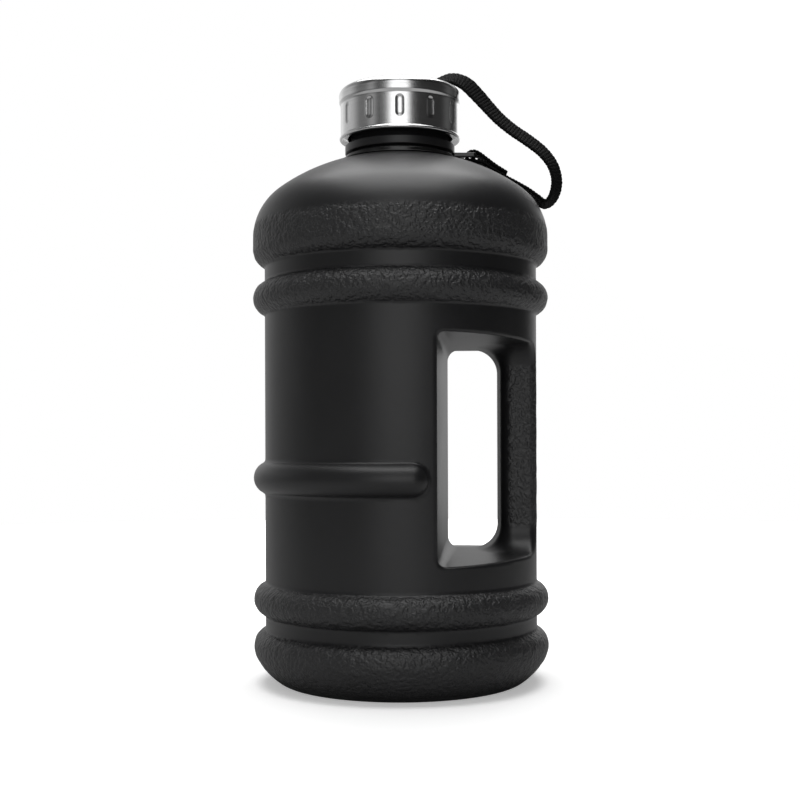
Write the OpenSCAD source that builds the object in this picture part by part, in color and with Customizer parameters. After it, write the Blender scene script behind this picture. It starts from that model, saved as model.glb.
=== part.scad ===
// Large sports water jug: a blow-moulded body with a built-in hollow grip bar, a steel screw
// cap over a plastic insert, and a webbing strap that ties the cap to a ring under the neck bead.
// Millimetres, +Z up. The origin is on the jug's axis, on the plane that the jug stands on.
// The grip bar and the strap are on the +X side, and the jug is the same in front and behind.

/* [Body] */
// Radius of the straight wall
body_r = 60.5; // [59.5:0.1:61.5]
// How far the ribs, the shoulder and the base stand out from the straight wall
bulge = 5.1; // [4.6:0.1:5.6]
// Height of each rib where it leaves the wall
rib_h = 14; // [13:0.5:15]
// Height of the lower rib's middle
lower_rib_z = 37.4; // [36.5:0.1:38.5]
// Height of the half-length rib's middle
half_rib_z = 90.9; // [86:0.1:96]
// Height of the upper rib's middle
upper_rib_z = 170.1; // [168:0.1:171]
// Height where the shoulder leaves the groove above the upper rib
shoulder_z = 184.5; // [183:0.5:187]
// Height of the shoulder's upright band
shoulder_band = 5.2; // [3:0.1:8]
// Thickness of the moulded wall
wall = 1.5; // [1.2:0.1:1.8]
// How far the middle of the underside is pushed up
push_up = 3; // [1:0.5:5]

/* [Neck] */
// Outside radius of the neck
neck_r = 21.8; // [21.6:0.1:21.9]
// Radius of the mouth
mouth_r = 19.3; // [18:0.1:19.5]
// Height of the mouth's rim
mouth_z = 258.4; // [258:0.1:258.6]
// Radius of the bead that the cap and the ring sit on either side of
bead_r = 24.5; // [24:0.1:25]
// Rise of the thread in one turn
thread_pitch = 5; // [4.8:0.1:5.2]

/* [Grip] */
// Distance from the axis to the window's near edge, at the parting plane
window_in = 21.1; // [20:0.1:24]
// Distance from the axis to the window's far edge, at the parting plane
window_out = 43.2; // [41:0.1:45]
// Height of the window's lower edge at the parting plane
window_low = 59.4; // [58.5:0.1:64]
// Height of the window's upper edge at the parting plane
window_high = 147.5; // [144:0.1:148]
// Half the thickness of the grip bar, front to back
bar_half = 12; // [10:0.5:14]

/* [Cap] */
// Radius of the steel shell's side
cap_r = 26.5; // [26.4:0.1:26.8]
// Height of the shell's lower edge
cap_low = 241.1; // [240.6:0.1:241.4]
// Height of the shell's flat top
cap_top = 264; // [263.8:0.1:264.4]
// Number of pressed grip dents round the shell
dent_count = 12; // [6:1:14]
// Depth of each dent
dent_depth = 0.6; // [0.3:0.1:0.7]

/* [Strap] */
// Width of the webbing
strap_w = 10; // [8:0.5:10.5]
// Thickness of the webbing
strap_t = 1.6; // [1.2:0.1:1.7]

/* [Hidden] */
$fn = 96;

outer_r = body_r + bulge;
// A rib is an arc that stands out by bulge over a chord of rib_h.
rib_r = (rib_h * rib_h / 4 + bulge * bulge) / (2 * bulge);
rib_centre_r = outer_r - rib_r;
// Base: three tangent arcs from the foot up to the widest ring, as [radius, angle where it starts].
foot_arc = [8, -90];
base_arc = [30, -55];
side_arc = [12, -30];
base_mid_z = side_arc[0] * sin(-side_arc[1])
           + base_arc[0] * (sin(-base_arc[1]) - sin(-side_arc[1]))
           + foot_arc[0] * (1 - sin(-base_arc[1]));
side_c = [outer_r - side_arc[0], base_mid_z];
base_c = side_c + (side_arc[0] - base_arc[0]) * [cos(side_arc[1]), sin(side_arc[1])];
foot_c = base_c + (base_arc[0] - foot_arc[0]) * [cos(base_arc[1]), sin(base_arc[1])];
// The foot is the ring between foot_in and foot_c[0], and the push-up starts inside it.
foot_in = 43;
push_r = 37;
// Shoulder: an arc up to the upright band, then a tight arc and a wide one up to the neck.
shoulder_c = [rib_centre_r, shoulder_z + rib_h / 2];
dome_z = shoulder_c[1] + shoulder_band;
dome_tight_r = 25.8;
dome_wide_r = 83.3;
dome_turn = 53.7;
dome_c = [outer_r - dome_tight_r, dome_z];
dome_wide_c = dome_c + (dome_tight_r - dome_wide_r) * [cos(dome_turn), sin(dome_turn)];
// The half-length rib runs round the -X side, and its ends are round.
half_rib_end = 4;
// Neck: bead, and the thread's ridges on the neck and in the insert.
bead_low = 234.9;
bead_high = 238.8;
edge = 0.4;
neck_thread_z = 244.5;
neck_turns = 2.2;
insert_turns = 1.9;
thread_depth = 1.2;
thread_root = 1.05;
thread_crest = 0.55;
thread_sink = 0.3;
thread_steps = 36;
insert_bore = neck_r + thread_depth + 0.4;
insert_thread_z = neck_thread_z + thread_pitch / 2;
// Grip: how the pocket opens out from the parting plane to the body's surface.
pocket_reach = 70;
pocket_side_draft = 0.112;
pocket_end_draft = 0.065;
window_corner_in = 5;
window_corner_out = 10.7;
pocket_corner = 3.3;
bar_draft = 1.4;
// Cap shell, insert, gasket and rivet.
shell_t = 1;
shell_shoulder = 0.7;
shell_round = 3.2;
roll_h = 1.6;
dent_z = [248.2, 253.6];
dent_tool_r = 3.9;
insert_r = cap_r - shell_t - 0.2;
insert_low = cap_low + roll_h + 0.1;
insert_floor = mouth_z + 1.7;
insert_top = cap_top - shell_t - 0.1;
gasket_gap = 0.2;
gasket_t = 1.3;
rivet_shank_r = 1.8;
rivet_hole_r = 2.1;
rivet_head_r = 4.2;
rivet_head_h = 1.5;
washer_r = 4.8;
washer_t = 0.6;
burr_r = 5.5;
burr_t = 1;
strap_gap = 0.3;
washer_z = cap_top + strap_t + 2 * strap_gap;
// Tether ring: a collar under the bead with a thin flange on the shoulder and a slotted tab.
collar_in = 22.2;
collar_r = 24.7;
collar_high = 233.7;
flange_r = 27;
flange_low = 231.3;
flange_rise = 1;
flange_t = 0.5;
tab_low = 232.7;
tab_high = 234.7;
tab_half_w = 7.2;
tab_end = 33.8;
slot_in = 28.6;
slot_out = 31.6;
slot_half_w = 5.6;

// ---- helpers ----
function arc_points(c, r, a0, a1, n) =
    [for (i = [0:n]) c + r * [cos(a0 + (a1 - a0) * i / n), sin(a0 + (a1 - a0) * i / n)]];

// Outline of one bulge that springs from the wall, drawn upwards and set in by inset.
function rib_points(z, inset) =
    let (r = rib_r - inset, a = acos((body_r - inset - rib_centre_r) / r))
    arc_points([rib_centre_r, z], r, -a, a, 16);

// The whole side outline from the foot to the neck, set in by inset.
function side_points(inset) =
    let (r = rib_r - inset, a = acos((body_r - inset - rib_centre_r) / r))
    concat(
        arc_points(foot_c, foot_arc[0] - inset, foot_arc[1], base_arc[1], 4),
        arc_points(base_c, base_arc[0] - inset, base_arc[1] + 1, side_arc[1], 4),
        arc_points(side_c, side_arc[0] - inset, side_arc[1] + 3, 0, 4),
        arc_points([rib_centre_r, base_mid_z], r, a / 8, a, 7),
        rib_points(lower_rib_z, inset),
        rib_points(upper_rib_z, inset),
        arc_points(shoulder_c, r, -a, 0, 8),
        arc_points(dome_c, dome_tight_r - inset, 0, dome_turn, 10),
        arc_points(dome_wide_c, dome_wide_r - inset, dome_turn + 1.5, dome_end(inset), 9));

// Angle on the wide arc where the dome reaches the neck, outside, or the mouth's bore, inside.
function dome_end(inset) =
    acos(((inset > 0 ? mouth_r : neck_r) - dome_wide_c[0]) / (dome_wide_r - inset));

// A closed tube through rings of points: every ring has the same number of points.
function tube_faces(rings, n) = concat(
    [[for (j = [n - 1:-1:0]) j]],
    [for (i = [0:rings - 2], j = [0:n - 1])
        [i * n + j, i * n + (j + 1) % n, (i + 1) * n + (j + 1) % n]],
    [for (i = [0:rings - 2], j = [0:n - 1])
        [i * n + j, (i + 1) * n + (j + 1) % n, (i + 1) * n + j]],
    [[for (j = [0:n - 1]) (rings - 1) * n + j]]);

// A helical ridge on radius r that stands out by depth, or inwards where depth is negative. Its
// height fades at both ends.
module thread_ridge(r, depth, z, turns) {
    rings = floor(turns * thread_steps);
    side = depth > 0 ? 1 : -1;
    points = [for (i = [0:rings])
        let (a = 360 * i / thread_steps, zi = z + thread_pitch * i / thread_steps,
             fade = min(1, (i + 0.6) / 6, (rings - i + 0.6) / 6),
             crest = r + depth * fade, root = r - side * thread_sink)
        for (p = [[root, -thread_root], [crest, -thread_crest], [crest, thread_crest],
                  [root, thread_root]])
            [p[0] * cos(a), p[0] * sin(a), zi + p[1]]];
    faces = tube_faces(rings + 1, 4);
    polyhedron(points, depth > 0 ? faces : [for (f = faces) [for (k = [len(f) - 1:-1:0]) f[k]]]);
}

// ---- jug body ----
module outer_form() {
    rotate_extrude() polygon(concat(
        [[0, push_up], [push_r, push_up], [foot_in, 0]],
        side_points(0),
        [[neck_r, bead_low], [bead_r - edge, bead_low], [bead_r, bead_low + edge],
         [bead_r, bead_high - edge], [bead_r - edge, bead_high], [neck_r, bead_high],
         [neck_r, mouth_z - edge], [neck_r - edge, mouth_z], [0, mouth_z]]));
    half_rib(0);
    half_rib_ends();
}

module inner_form() {
    rotate_extrude() polygon(concat(
        [[0, push_up + wall], [push_r + wall, push_up + wall], [foot_in + wall, wall]],
        side_points(wall),
        [[mouth_r, mouth_z + 1], [0, mouth_z + 1]]));
    half_rib(wall);
}

// The rib round the half away from the grip.
module half_rib(inset) {
    translate([0, 0, half_rib_z]) rotate([0, 0, 90 - half_rib_end])
        rotate_extrude(angle = 180 + 2 * half_rib_end)
            translate([rib_centre_r, 0]) circle(r = rib_r - inset);
}

// Half a ball rounds off each end of the rib. It is a hair smaller than the rib, so that it meets
// the rib's flat end and not its side.
module half_rib_ends() {
    for (side = [-1, 1]) rotate([0, 0, side * (90 - half_rib_end)])
        translate([rib_centre_r, 0, half_rib_z]) intersection() {
            sphere(r = rib_r - 0.05);
            translate([-rib_r, side > 0 ? -rib_r : 0, -rib_r]) cube([2 * rib_r, rib_r, 2 * rib_r]);
        }
}

// A rounded outline in X and Z, run from y0 to y1: corners lists the radii at low X and at high X.
module rounded_prism(x0, x1, z0, z1, corners, y0, y1) {
    r0 = corners[0];
    r1 = corners[1];
    outline = concat(
        arc_points([x0 + r0, z0 + r0], r0, 180, 270, 6),
        arc_points([x1 - r1, z0 + r1], r1, 270, 360, 8),
        arc_points([x1 - r1, z1 - r1], r1, 0, 90, 8),
        arc_points([x0 + r0, z1 - r0], r0, 90, 180, 6));
    translate([0, y1, 0]) rotate([90, 0, 0]) linear_extrude(y1 - y0) polygon(outline);
}

// The space of the grip, made larger by grow on every side: a window through the body, which
// opens out to a pocket in front of and behind the bar.
module grip_space(grow) {
    b = bar_half - grow;
    near = window_in - grow;
    spread = pocket_reach * pocket_side_draft;
    rise = pocket_reach * pocket_end_draft;
    low = window_low - grow;
    high = window_high + grow;
    intersection() {
        linear_extrude(200) polygon([
            [near - spread, -pocket_reach], [near, 0], [near - spread, pocket_reach],
            [outer_r + 9, pocket_reach], [outer_r + 9, b], [window_out + bar_draft + grow, b],
            [window_out + grow, 0], [window_out + bar_draft + grow, -b],
            [outer_r + 9, -b], [outer_r + 9, -pocket_reach]]);
        translate([near - spread - 1, 0, 0]) rotate([90, 0, 90])
            linear_extrude(outer_r + 12 - near + spread) polygon([
                [-pocket_reach, low - rise], [0, low], [pocket_reach, low - rise],
                [pocket_reach, high + rise], [0, high], [-pocket_reach, high + rise]]);
        union() {
            rounded_prism(near - b * pocket_side_draft, window_out + grow + bar_draft,
                low - b * pocket_end_draft, high + b * pocket_end_draft,
                [window_corner_in + grow, window_corner_out + grow], -b - 0.01, b + 0.01);
            for (s = [[-pocket_reach, -b], [b, pocket_reach]])
                rounded_prism(near - body_r * pocket_side_draft, outer_r + 9,
                    low - body_r * pocket_end_draft, high + body_r * pocket_end_draft,
                    [pocket_corner + grow, 1], s[0], s[1]);
        }
    }
}

module jug_body() color("#1b1b1d") {
    difference() {
        outer_form();
        grip_space(0);
        difference() {
            inner_form();
            grip_space(wall);
        }
    }
    thread_ridge(neck_r, thread_depth, neck_thread_z, neck_turns);
}

// ---- tether ring ----
module tether_ring() color("#0c0c0e") difference() {
    union() {
        rotate_extrude() polygon([
            [collar_in, flange_low + flange_rise], [flange_r, flange_low],
            [flange_r, flange_low + flange_t], [collar_r, flange_low + flange_t + 0.4],
            [collar_r, collar_high - edge], [collar_r - edge, collar_high],
            [collar_in, collar_high]]);
        translate([collar_in + 1, -tab_half_w, tab_low])
            cube([tab_end - collar_in - 1, 2 * tab_half_w, tab_high - tab_low]);
    }
    translate([slot_in, -slot_half_w, tab_low - 1])
        cube([slot_out - slot_in, 2 * slot_half_w, tab_high - tab_low + 2]);
    translate([0, 0, flange_low]) cylinder(r = collar_in, h = 10);
}

// ---- strap ----
// The webbing's middle line as [x, z, turn of its width about the line], from its end on the cap,
// out over the rim, down to the fold, back up to the tab, round the tab's bar and to its cut end.
strap_route = [
    [-7, 265.1, 0], [-1, 265.1, 0], [5.5, 265.1, 0], [11, 266.2, 6], [17, 268.2, 22],
    [23.5, 269.3, 42], [29.5, 267.1, 51], [34.6, 262.2, 50], [39.6, 256.6, 46], [44.7, 251.2, 44],
    [50.6, 246.3, 43], [57.3, 241.7, 43], [63.8, 236.6, 41], [68.3, 230.8, 38], [70.2, 224.6, 34],
    [69.8, 219.2, 30], [67.8, 214.9, 22], [64.7, 213, 11], [61.4, 215.6, 4], [57.4, 218.8, 0],
    [52, 221.9, 0], [46.8, 224.7, 0], [41.6, 228.1, 0], [36.8, 231, 0], [33.2, 231.7, 0],
    [30.6, 232, 0], [29.9, 233.7, 0], [30.8, 235.4, 0], [33, 235.9, 0], [35, 235.2, 0], [37, 233.8, 0],
    [42.4, 229.7, 0], [47.7, 226.3, 0]];
strap_steps = 2;

function spline(a, b, c, d, t) =
    0.5 * (2 * b + t * (c - a) + t * t * (2 * a - 5 * b + 4 * c - d)
           + t * t * t * (3 * b - a - 3 * c + d));
function strap_at(i, t) =
    let (last = len(strap_route) - 1)
    spline(strap_route[max(0, i - 1)], strap_route[i], strap_route[min(last, i + 1)],
           strap_route[min(last, i + 2)], t);
strap_line = concat(
    [for (i = [0:len(strap_route) - 2], k = [0:strap_steps - 1]) strap_at(i, k / strap_steps)],
    [strap_route[len(strap_route) - 1]]);
strap_section = [
    for (s = [[-1, -1], [1, -1], [1, 1], [-1, 1]])
        for (c = s[0] == s[1] ? [[0, 1], [1, 0]] : [[1, 0], [0, 1]])
            [s[0] * (strap_w / 2 - edge * c[0]), s[1] * (strap_t / 2 - edge * c[1])]];

function strap_ring(i) =
    let (last = len(strap_line) - 1, p = strap_line[i],
         q = strap_line[min(last, i + 1)] - strap_line[max(0, i - 1)],
         long = norm([q[0], q[1]]), t = [q[0] / long, q[1] / long],
         up = [-t[1], 0, t[0]], across = [0, 1, 0],
         w = cos(p[2]) * across + sin(p[2]) * up, n = cos(p[2]) * up - sin(p[2]) * across)
    [for (s = strap_section) [p[0], 0, p[1]] + s[0] * w + s[1] * n];

module carry_strap() color("#131315") difference() {
    polyhedron([for (i = [0:len(strap_line) - 1]) each strap_ring(i)],
        tube_faces(len(strap_line), len(strap_section)));
    translate([0, 0, cap_top - 1]) cylinder(r = rivet_hole_r, h = strap_t + 3);
}

// A block of thread that sews the cut end to the strand below it.
stitch_at = [43.8, 0, 227.8];
stitch_size = [5, 7, 3.7];
stitch_tilt = 32.5;
module strap_stitching() color("#1a1a1c")
    translate(stitch_at) rotate([0, stitch_tilt, 0]) cube(stitch_size, center = true);

// ---- cap ----
module shell_section() {
    r = cap_r + shell_shoulder;
    outer = concat(
        [[cap_r, cap_low + roll_h], [cap_r, cap_top - 7.6], [r - 0.2, cap_top - 6.2]],
        arc_points([r - shell_round, cap_top - shell_round], shell_round, 0, 90, 8));
    inner = [
        [r - shell_round, cap_top - shell_t], [cap_r - shell_t, cap_top - shell_t - 1.4],
        [cap_r - shell_t, cap_low + roll_h]];
    polygon(concat(outer, [[0, cap_top], [0, cap_top - shell_t]], inner));
    roll = roll_h / 2;
    translate([cap_r - 0.3, cap_low + roll]) circle(r = roll);
    translate([cap_r - 3, cap_low + roll]) square([2.7, roll]);
    translate([cap_r - shell_t, cap_low + roll]) square([shell_t, roll + 0.1]);
}

// The tool for one dent: an upright bar with round ends.
module dent_tool() {
    translate([cap_r + dent_tool_r - dent_depth, 0, 0]) rotate_extrude() intersection() {
        square([dent_tool_r, cap_top]);
        union() {
            for (z = dent_z) translate([0, z]) circle(r = dent_tool_r);
            translate([0, dent_z[0]]) square([dent_tool_r, dent_z[1] - dent_z[0]]);
        }
    }
}

module cap_shell() color("#c9cacc") difference() {
    rotate_extrude() shell_section();
    for (i = [0:dent_count - 1]) rotate([0, 0, -90 + 360 * i / dent_count]) dent_tool();
    translate([0, 0, cap_top - 3]) cylinder(r = rivet_hole_r, h = 6);
}

module cap_insert() color("#101012") {
    difference() {
        rotate_extrude() polygon([
            [0, insert_floor], [insert_bore, insert_floor], [insert_bore, insert_low],
            [insert_r, insert_low], [insert_r, insert_top - 2], [insert_r - 2, insert_top],
            [0, insert_top]]);
        translate([0, 0, insert_floor - 1]) cylinder(r = rivet_hole_r, h = 8);
    }
    thread_ridge(insert_bore, -thread_depth, insert_thread_z, insert_turns);
}

module cap_gasket() color("#d8d8d4")
    translate([0, 0, mouth_z + gasket_gap]) difference() {
        cylinder(r = insert_bore - 0.15, h = gasket_t);
        translate([0, 0, -1]) cylinder(r = mouth_r - 0.5, h = gasket_t + 2);
    }

// ---- rivet that holds the strap on the cap ----
module strap_rivet() color("#b9babd") {
    burr_low = insert_floor - burr_t;
    translate([0, 0, burr_low - 0.8])
        cylinder(r = rivet_shank_r, h = washer_z + washer_t - burr_low + 1);
    translate([0, 0, washer_z + washer_t]) intersection() {
        cylinder(r = rivet_head_r, h = rivet_head_h);
        translate([0, 0, rivet_head_h - rivet_dome_r]) sphere(r = rivet_dome_r);
    }
}
rivet_dome_r = (rivet_head_r * rivet_head_r + rivet_head_h * rivet_head_h) / (2 * rivet_head_h);

module ring(r, h, z) {
    translate([0, 0, z]) difference() {
        cylinder(r = r, h = h);
        translate([0, 0, -1]) cylinder(r = rivet_shank_r, h = h + 2);
    }
}

module rivet_washer() color("#b9babd") ring(washer_r, washer_t, washer_z);

module rivet_burr() color("#b9babd") ring(burr_r, burr_t, insert_floor - burr_t);

jug_body();
tether_ring();
carry_strap();
strap_stitching();
cap_shell();
cap_insert();
cap_gasket();
strap_rivet();
rivet_washer();
rivet_burr();
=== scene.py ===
"""Looks of the large sports water jug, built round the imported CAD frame.

Shapes are worked out in millimetres and become metres when their mesh is made. Camera and light are in
metres.
"""

import math

import bmesh
import bpy
import numpy as np
import openvdb
from mathutils import Matrix, Vector


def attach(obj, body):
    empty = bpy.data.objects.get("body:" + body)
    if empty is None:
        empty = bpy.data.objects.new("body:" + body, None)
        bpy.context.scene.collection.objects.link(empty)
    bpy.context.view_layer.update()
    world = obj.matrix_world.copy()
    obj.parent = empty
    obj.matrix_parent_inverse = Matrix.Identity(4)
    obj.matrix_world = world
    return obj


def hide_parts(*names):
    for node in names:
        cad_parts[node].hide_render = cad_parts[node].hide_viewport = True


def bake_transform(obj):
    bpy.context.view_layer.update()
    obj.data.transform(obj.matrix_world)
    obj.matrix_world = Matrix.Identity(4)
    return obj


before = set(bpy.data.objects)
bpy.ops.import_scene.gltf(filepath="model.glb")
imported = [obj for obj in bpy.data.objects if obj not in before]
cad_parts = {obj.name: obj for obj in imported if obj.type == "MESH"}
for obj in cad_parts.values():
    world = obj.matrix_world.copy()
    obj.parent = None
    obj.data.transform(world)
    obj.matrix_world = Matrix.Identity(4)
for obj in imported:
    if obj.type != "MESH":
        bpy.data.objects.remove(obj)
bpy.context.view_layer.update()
scene = bpy.context.scene
MM = 0.001

# ---- camera ----
CAMERA_DISTANCE, CAMERA_HEIGHT = 0.5735, 0.1063
CAMERA_ROLL = 0.19  # degrees
CAMERA_LENS, CAMERA_SENSOR = 57.53, 36
CAMERA_SHIFT_X, CAMERA_SHIFT_Y = -0.0011, 0.053

camera = bpy.data.objects.new("camera", bpy.data.cameras.new("camera"))
scene.collection.objects.link(camera)
camera.location = (0, -CAMERA_DISTANCE, CAMERA_HEIGHT)
camera.rotation_euler = (math.radians(90), math.radians(CAMERA_ROLL), 0)
camera.data.sensor_width = CAMERA_SENSOR
camera.data.lens = CAMERA_LENS
camera.data.shift_x = CAMERA_SHIFT_X
camera.data.shift_y = CAMERA_SHIFT_Y
camera.data.clip_start = 0.01
scene.camera = camera
scene.view_settings.view_transform = "Standard"

# ---- node trees ----


class Nodes:
    """A short way to write a node tree. add(type, {input: value or socket}, setting=value) returns a node."""

    def __init__(self, tree):
        self.tree = tree
        tree.nodes.clear()

    def add(self, kind, sockets=None, **settings):
        node = self.tree.nodes.new(kind)
        for name, value in settings.items():
            setattr(node, name, value)
        for name, value in (sockets or {}).items():
            self.set(node.inputs[name], value)
        return node

    def set(self, socket, value):
        if isinstance(value, bpy.types.NodeSocket):
            self.tree.links.new(value, socket)
        else:
            socket.default_value = value

    def math(self, operation, a, b=0.0, c=0.0):
        return self.add("ShaderNodeMath", {0: a, 1: b, 2: c}, operation=operation).outputs[0]

    def line(self, value, gain, base):
        """value * gain + base."""
        return self.math("MULTIPLY_ADD", value, gain, base)

    def place(self):
        """Where the shaded point is on its object, in metres."""
        return self.add("ShaderNodeTexCoord").outputs["Object"]

    def ramp(self, value, stops):
        """A colour ramp through (position, grey or colour) stops."""
        node = self.add("ShaderNodeValToRGB", {0: value})
        ramp = node.color_ramp
        while len(ramp.elements) < len(stops):
            ramp.elements.new(0.5)
        for element, (position, colour) in zip(ramp.elements, stops):
            element.position = position
            grey = isinstance(colour, (int, float))
            element.color = (colour, colour, colour, 1) if grey else (*colour, 1)
        return node.outputs[0]

    def noise(self, vector, scale, detail=2.0, rough=0.5):
        sockets = {"Vector": vector, "Scale": scale, "Detail": detail, "Roughness": rough}
        return self.add("ShaderNodeTexNoise", sockets).outputs[0]


def new_material(name):
    material = bpy.data.materials.new(name)
    material.use_nodes = True
    return material, Nodes(material.node_tree)


# ---- light ----
# What stands round the object, as (turn from the camera's side to the right in degrees, brightness).
PANORAMA = [(-180, 0.75), (-150, 0.85), (-130, 0.55), (-104, 0.47), (-84, 0.15), (-66, 0.16), (-54, 0.36),
            (-40, 0.04), (-24, 0.25), (-15, 1.55), (13, 1.55), (21, 0.12), (34, 0.03), (88, 0.03), (104, 0.1),
            (124, 0.04), (142, 0.2), (151, 1.3), (168, 1.2), (180, 0.75)]
# How that changes with height, as (0 straight down to 1 straight up, factor).
LEVELS = [(0.30, 0.2), (0.44, 0.74), (0.53, 0.8), (0.61, 1.1), (0.67, 1.05), (0.80, 0.45)]


def set_world():
    """White where the camera sees it. What the object reflects is a studio with dark flags round it."""
    world = bpy.data.worlds.new("studio")
    scene.world = world
    world.use_nodes = True
    n = Nodes(world.node_tree)
    direction = n.add("ShaderNodeTexCoord").outputs["Generated"]
    part = n.add("ShaderNodeSeparateXYZ", {0: direction}).outputs
    turn = n.math("ARCTAN2", part[0], n.math("MULTIPLY", part[1], -1.0))
    stops = [((degrees + 180) / 360, level) for degrees, level in PANORAMA]
    around = n.ramp(n.line(turn, 0.5 / math.pi, 0.5), stops)
    reflected = n.math("MULTIPLY", around, n.ramp(n.line(part[2], 0.5, 0.5), LEVELS))
    seen = n.add("ShaderNodeLightPath").outputs["Is Camera Ray"]
    strength = n.math("MAXIMUM", seen, reflected)
    back = n.add("ShaderNodeBackground", {"Color": (1, 1, 1, 1), "Strength": strength})
    n.add("ShaderNodeOutputWorld", {"Surface": back.outputs[0]})


def softbox(name, place, towards, width, height, watts):
    light = bpy.data.lights.new(name, "AREA")
    light.shape = "RECTANGLE"
    light.size, light.size_y = width, height
    light.energy = watts
    box = bpy.data.objects.new(name, light)
    scene.collection.objects.link(box)
    box.location = place
    box.rotation_euler = (Vector(towards) - Vector(place)).to_track_quat("-Z", "Y").to_euler()


set_world()
softbox("top_softbox", place=(0.0, 0.1, 1.3), towards=(0, 0, 0.13), width=1.1, height=1.5, watts=17)

# ---- floor ----
FLOOR_R = 1.2
FLOOR_TONE, FLOOR_TONE_SEEN = 0.5, 0.95  # as it lights the jug, and as the camera sees it
# What the camera sees added to that, as (metres from the jug's axis, strength).
FLOOR_GLOW = [(0.15, 0.36), (0.45, 1.0)]


def floor_paint():
    """A pale matte floor that fades into the white background where the camera sees it."""
    material, n = new_material("floor")
    seen = n.add("ShaderNodeLightPath").outputs["Is Camera Ray"]
    shade = n.add("ShaderNodeBsdfDiffuse", {"Color": n.line(seen, FLOOR_TONE_SEEN - FLOOR_TONE, FLOOR_TONE)})
    away = n.add("ShaderNodeVectorMath", {0: n.place()}, operation="LENGTH").outputs["Value"]
    strength = n.math("MULTIPLY", seen, n.ramp(away, FLOOR_GLOW))
    glow = n.add("ShaderNodeEmission", {"Color": (1, 1, 1, 1), "Strength": strength})
    both = n.add("ShaderNodeAddShader", {0: shade.outputs[0], 1: glow.outputs[0]})
    n.add("ShaderNodeOutputMaterial", {"Surface": both.outputs[0]})
    return material


bpy.ops.mesh.primitive_circle_add(vertices=96, radius=FLOOR_R, fill_type="NGON")
floor = bpy.context.object
floor.name = "floor"
floor.data.materials.append(floor_paint())

# ---- materials ----


def finish_material(n, sockets, height, bump):
    """A Principled shader with these sockets and a bump, where height 1 stands bump metres over height 0."""
    node = n.add("ShaderNodeBump", {"Height": height, "Strength": 1.0, "Distance": bump})
    shader = n.add("ShaderNodeBsdfPrincipled", {**sockets, "Normal": node.outputs[0]})
    n.add("ShaderNodeOutputMaterial", {"Surface": shader.outputs[0]})


def mottled(name, scale, detail, tones, roughness, bump, relief_scale=None, extra=None):
    """A material that wanders between two tones and two roughnesses. Its bump does too, or is finer noise."""
    material, n = new_material(name)
    wave = n.noise(n.place(), scale, detail)
    tone = n.ramp(wave, [(0.3, tones[0]), (0.7, tones[1])])
    rough = n.line(wave, roughness[1] - roughness[0], roughness[0])
    relief = n.noise(n.place(), relief_scale, 3.0) if relief_scale else wave
    finish_material(n, {"Base Color": tone, "Roughness": rough, **(extra or {})}, relief, bump)
    return material


def body_plastic():
    """Black HDPE: satin walls with a faint orange peel, and moulded grain where the attribute grain is 1."""
    material, n = new_material("body_plastic")
    place = n.place()
    grain = n.add("ShaderNodeAttribute", attribute_name="grain").outputs["Fac"]
    blobs = n.noise(place, scale=560.0, detail=1.5)
    fine = n.noise(place, scale=2600.0, rough=0.6)
    peel = n.noise(place, scale=90.0, detail=3.0)
    patch = n.noise(place, scale=28.0, detail=3.0, rough=0.55)
    pebbles = n.ramp(blobs, [(0.40, 0.0), (0.60, 1.0)])
    relief = n.line(blobs, 0.6, n.line(pebbles, 0.45, -0.5))
    height = n.line(peel, 0.15, n.line(fine, 0.05, n.math("MULTIPLY", relief, grain)))
    tone = n.ramp(patch, [(0.3, (0.0085, 0.0085, 0.0092)), (0.7, (0.0125, 0.0125, 0.0135))])
    rough = n.line(grain, 0.10, n.line(patch, 0.08, 0.36))
    shine = n.line(grain, 0.22, 0.5)
    sockets = {"Base Color": tone, "Roughness": rough, "Specular IOR Level": shine}
    finish_material(n, sockets, height, bump=0.0005)
    return material


def gloss_plastic():
    """The tether ring's gloss black plastic, with a very fine ripple."""
    return mottled("ring_plastic", scale=160.0, detail=2.0, tones=(0.008, 0.013), roughness=(0.14, 0.24),
                   bump=0.00002, relief_scale=900.0)


def insert_plastic():
    """The cap insert's satin black plastic."""
    return mottled("insert_plastic", scale=300.0, detail=3.0, tones=(0.010, 0.017), roughness=(0.35, 0.50),
                   bump=0.00004)


def silicone():
    """The gasket's milky silicone."""
    return mottled("silicone", scale=240.0, detail=3.0, tones=((0.62, 0.62, 0.60), (0.74, 0.74, 0.71)),
                   roughness=(0.38, 0.53), bump=0.00005, extra={"Subsurface Weight": 0.2})


def thread():
    """The stitching's bonded black thread."""
    return mottled("thread", scale=3200.0, detail=2.0, tones=(0.008, 0.022), roughness=(0.4, 0.6),
                   bump=0.00006)


BRUSH_LINES = 9000.0  # brushed lines to the metre, in height on the side and in radius on top


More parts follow.
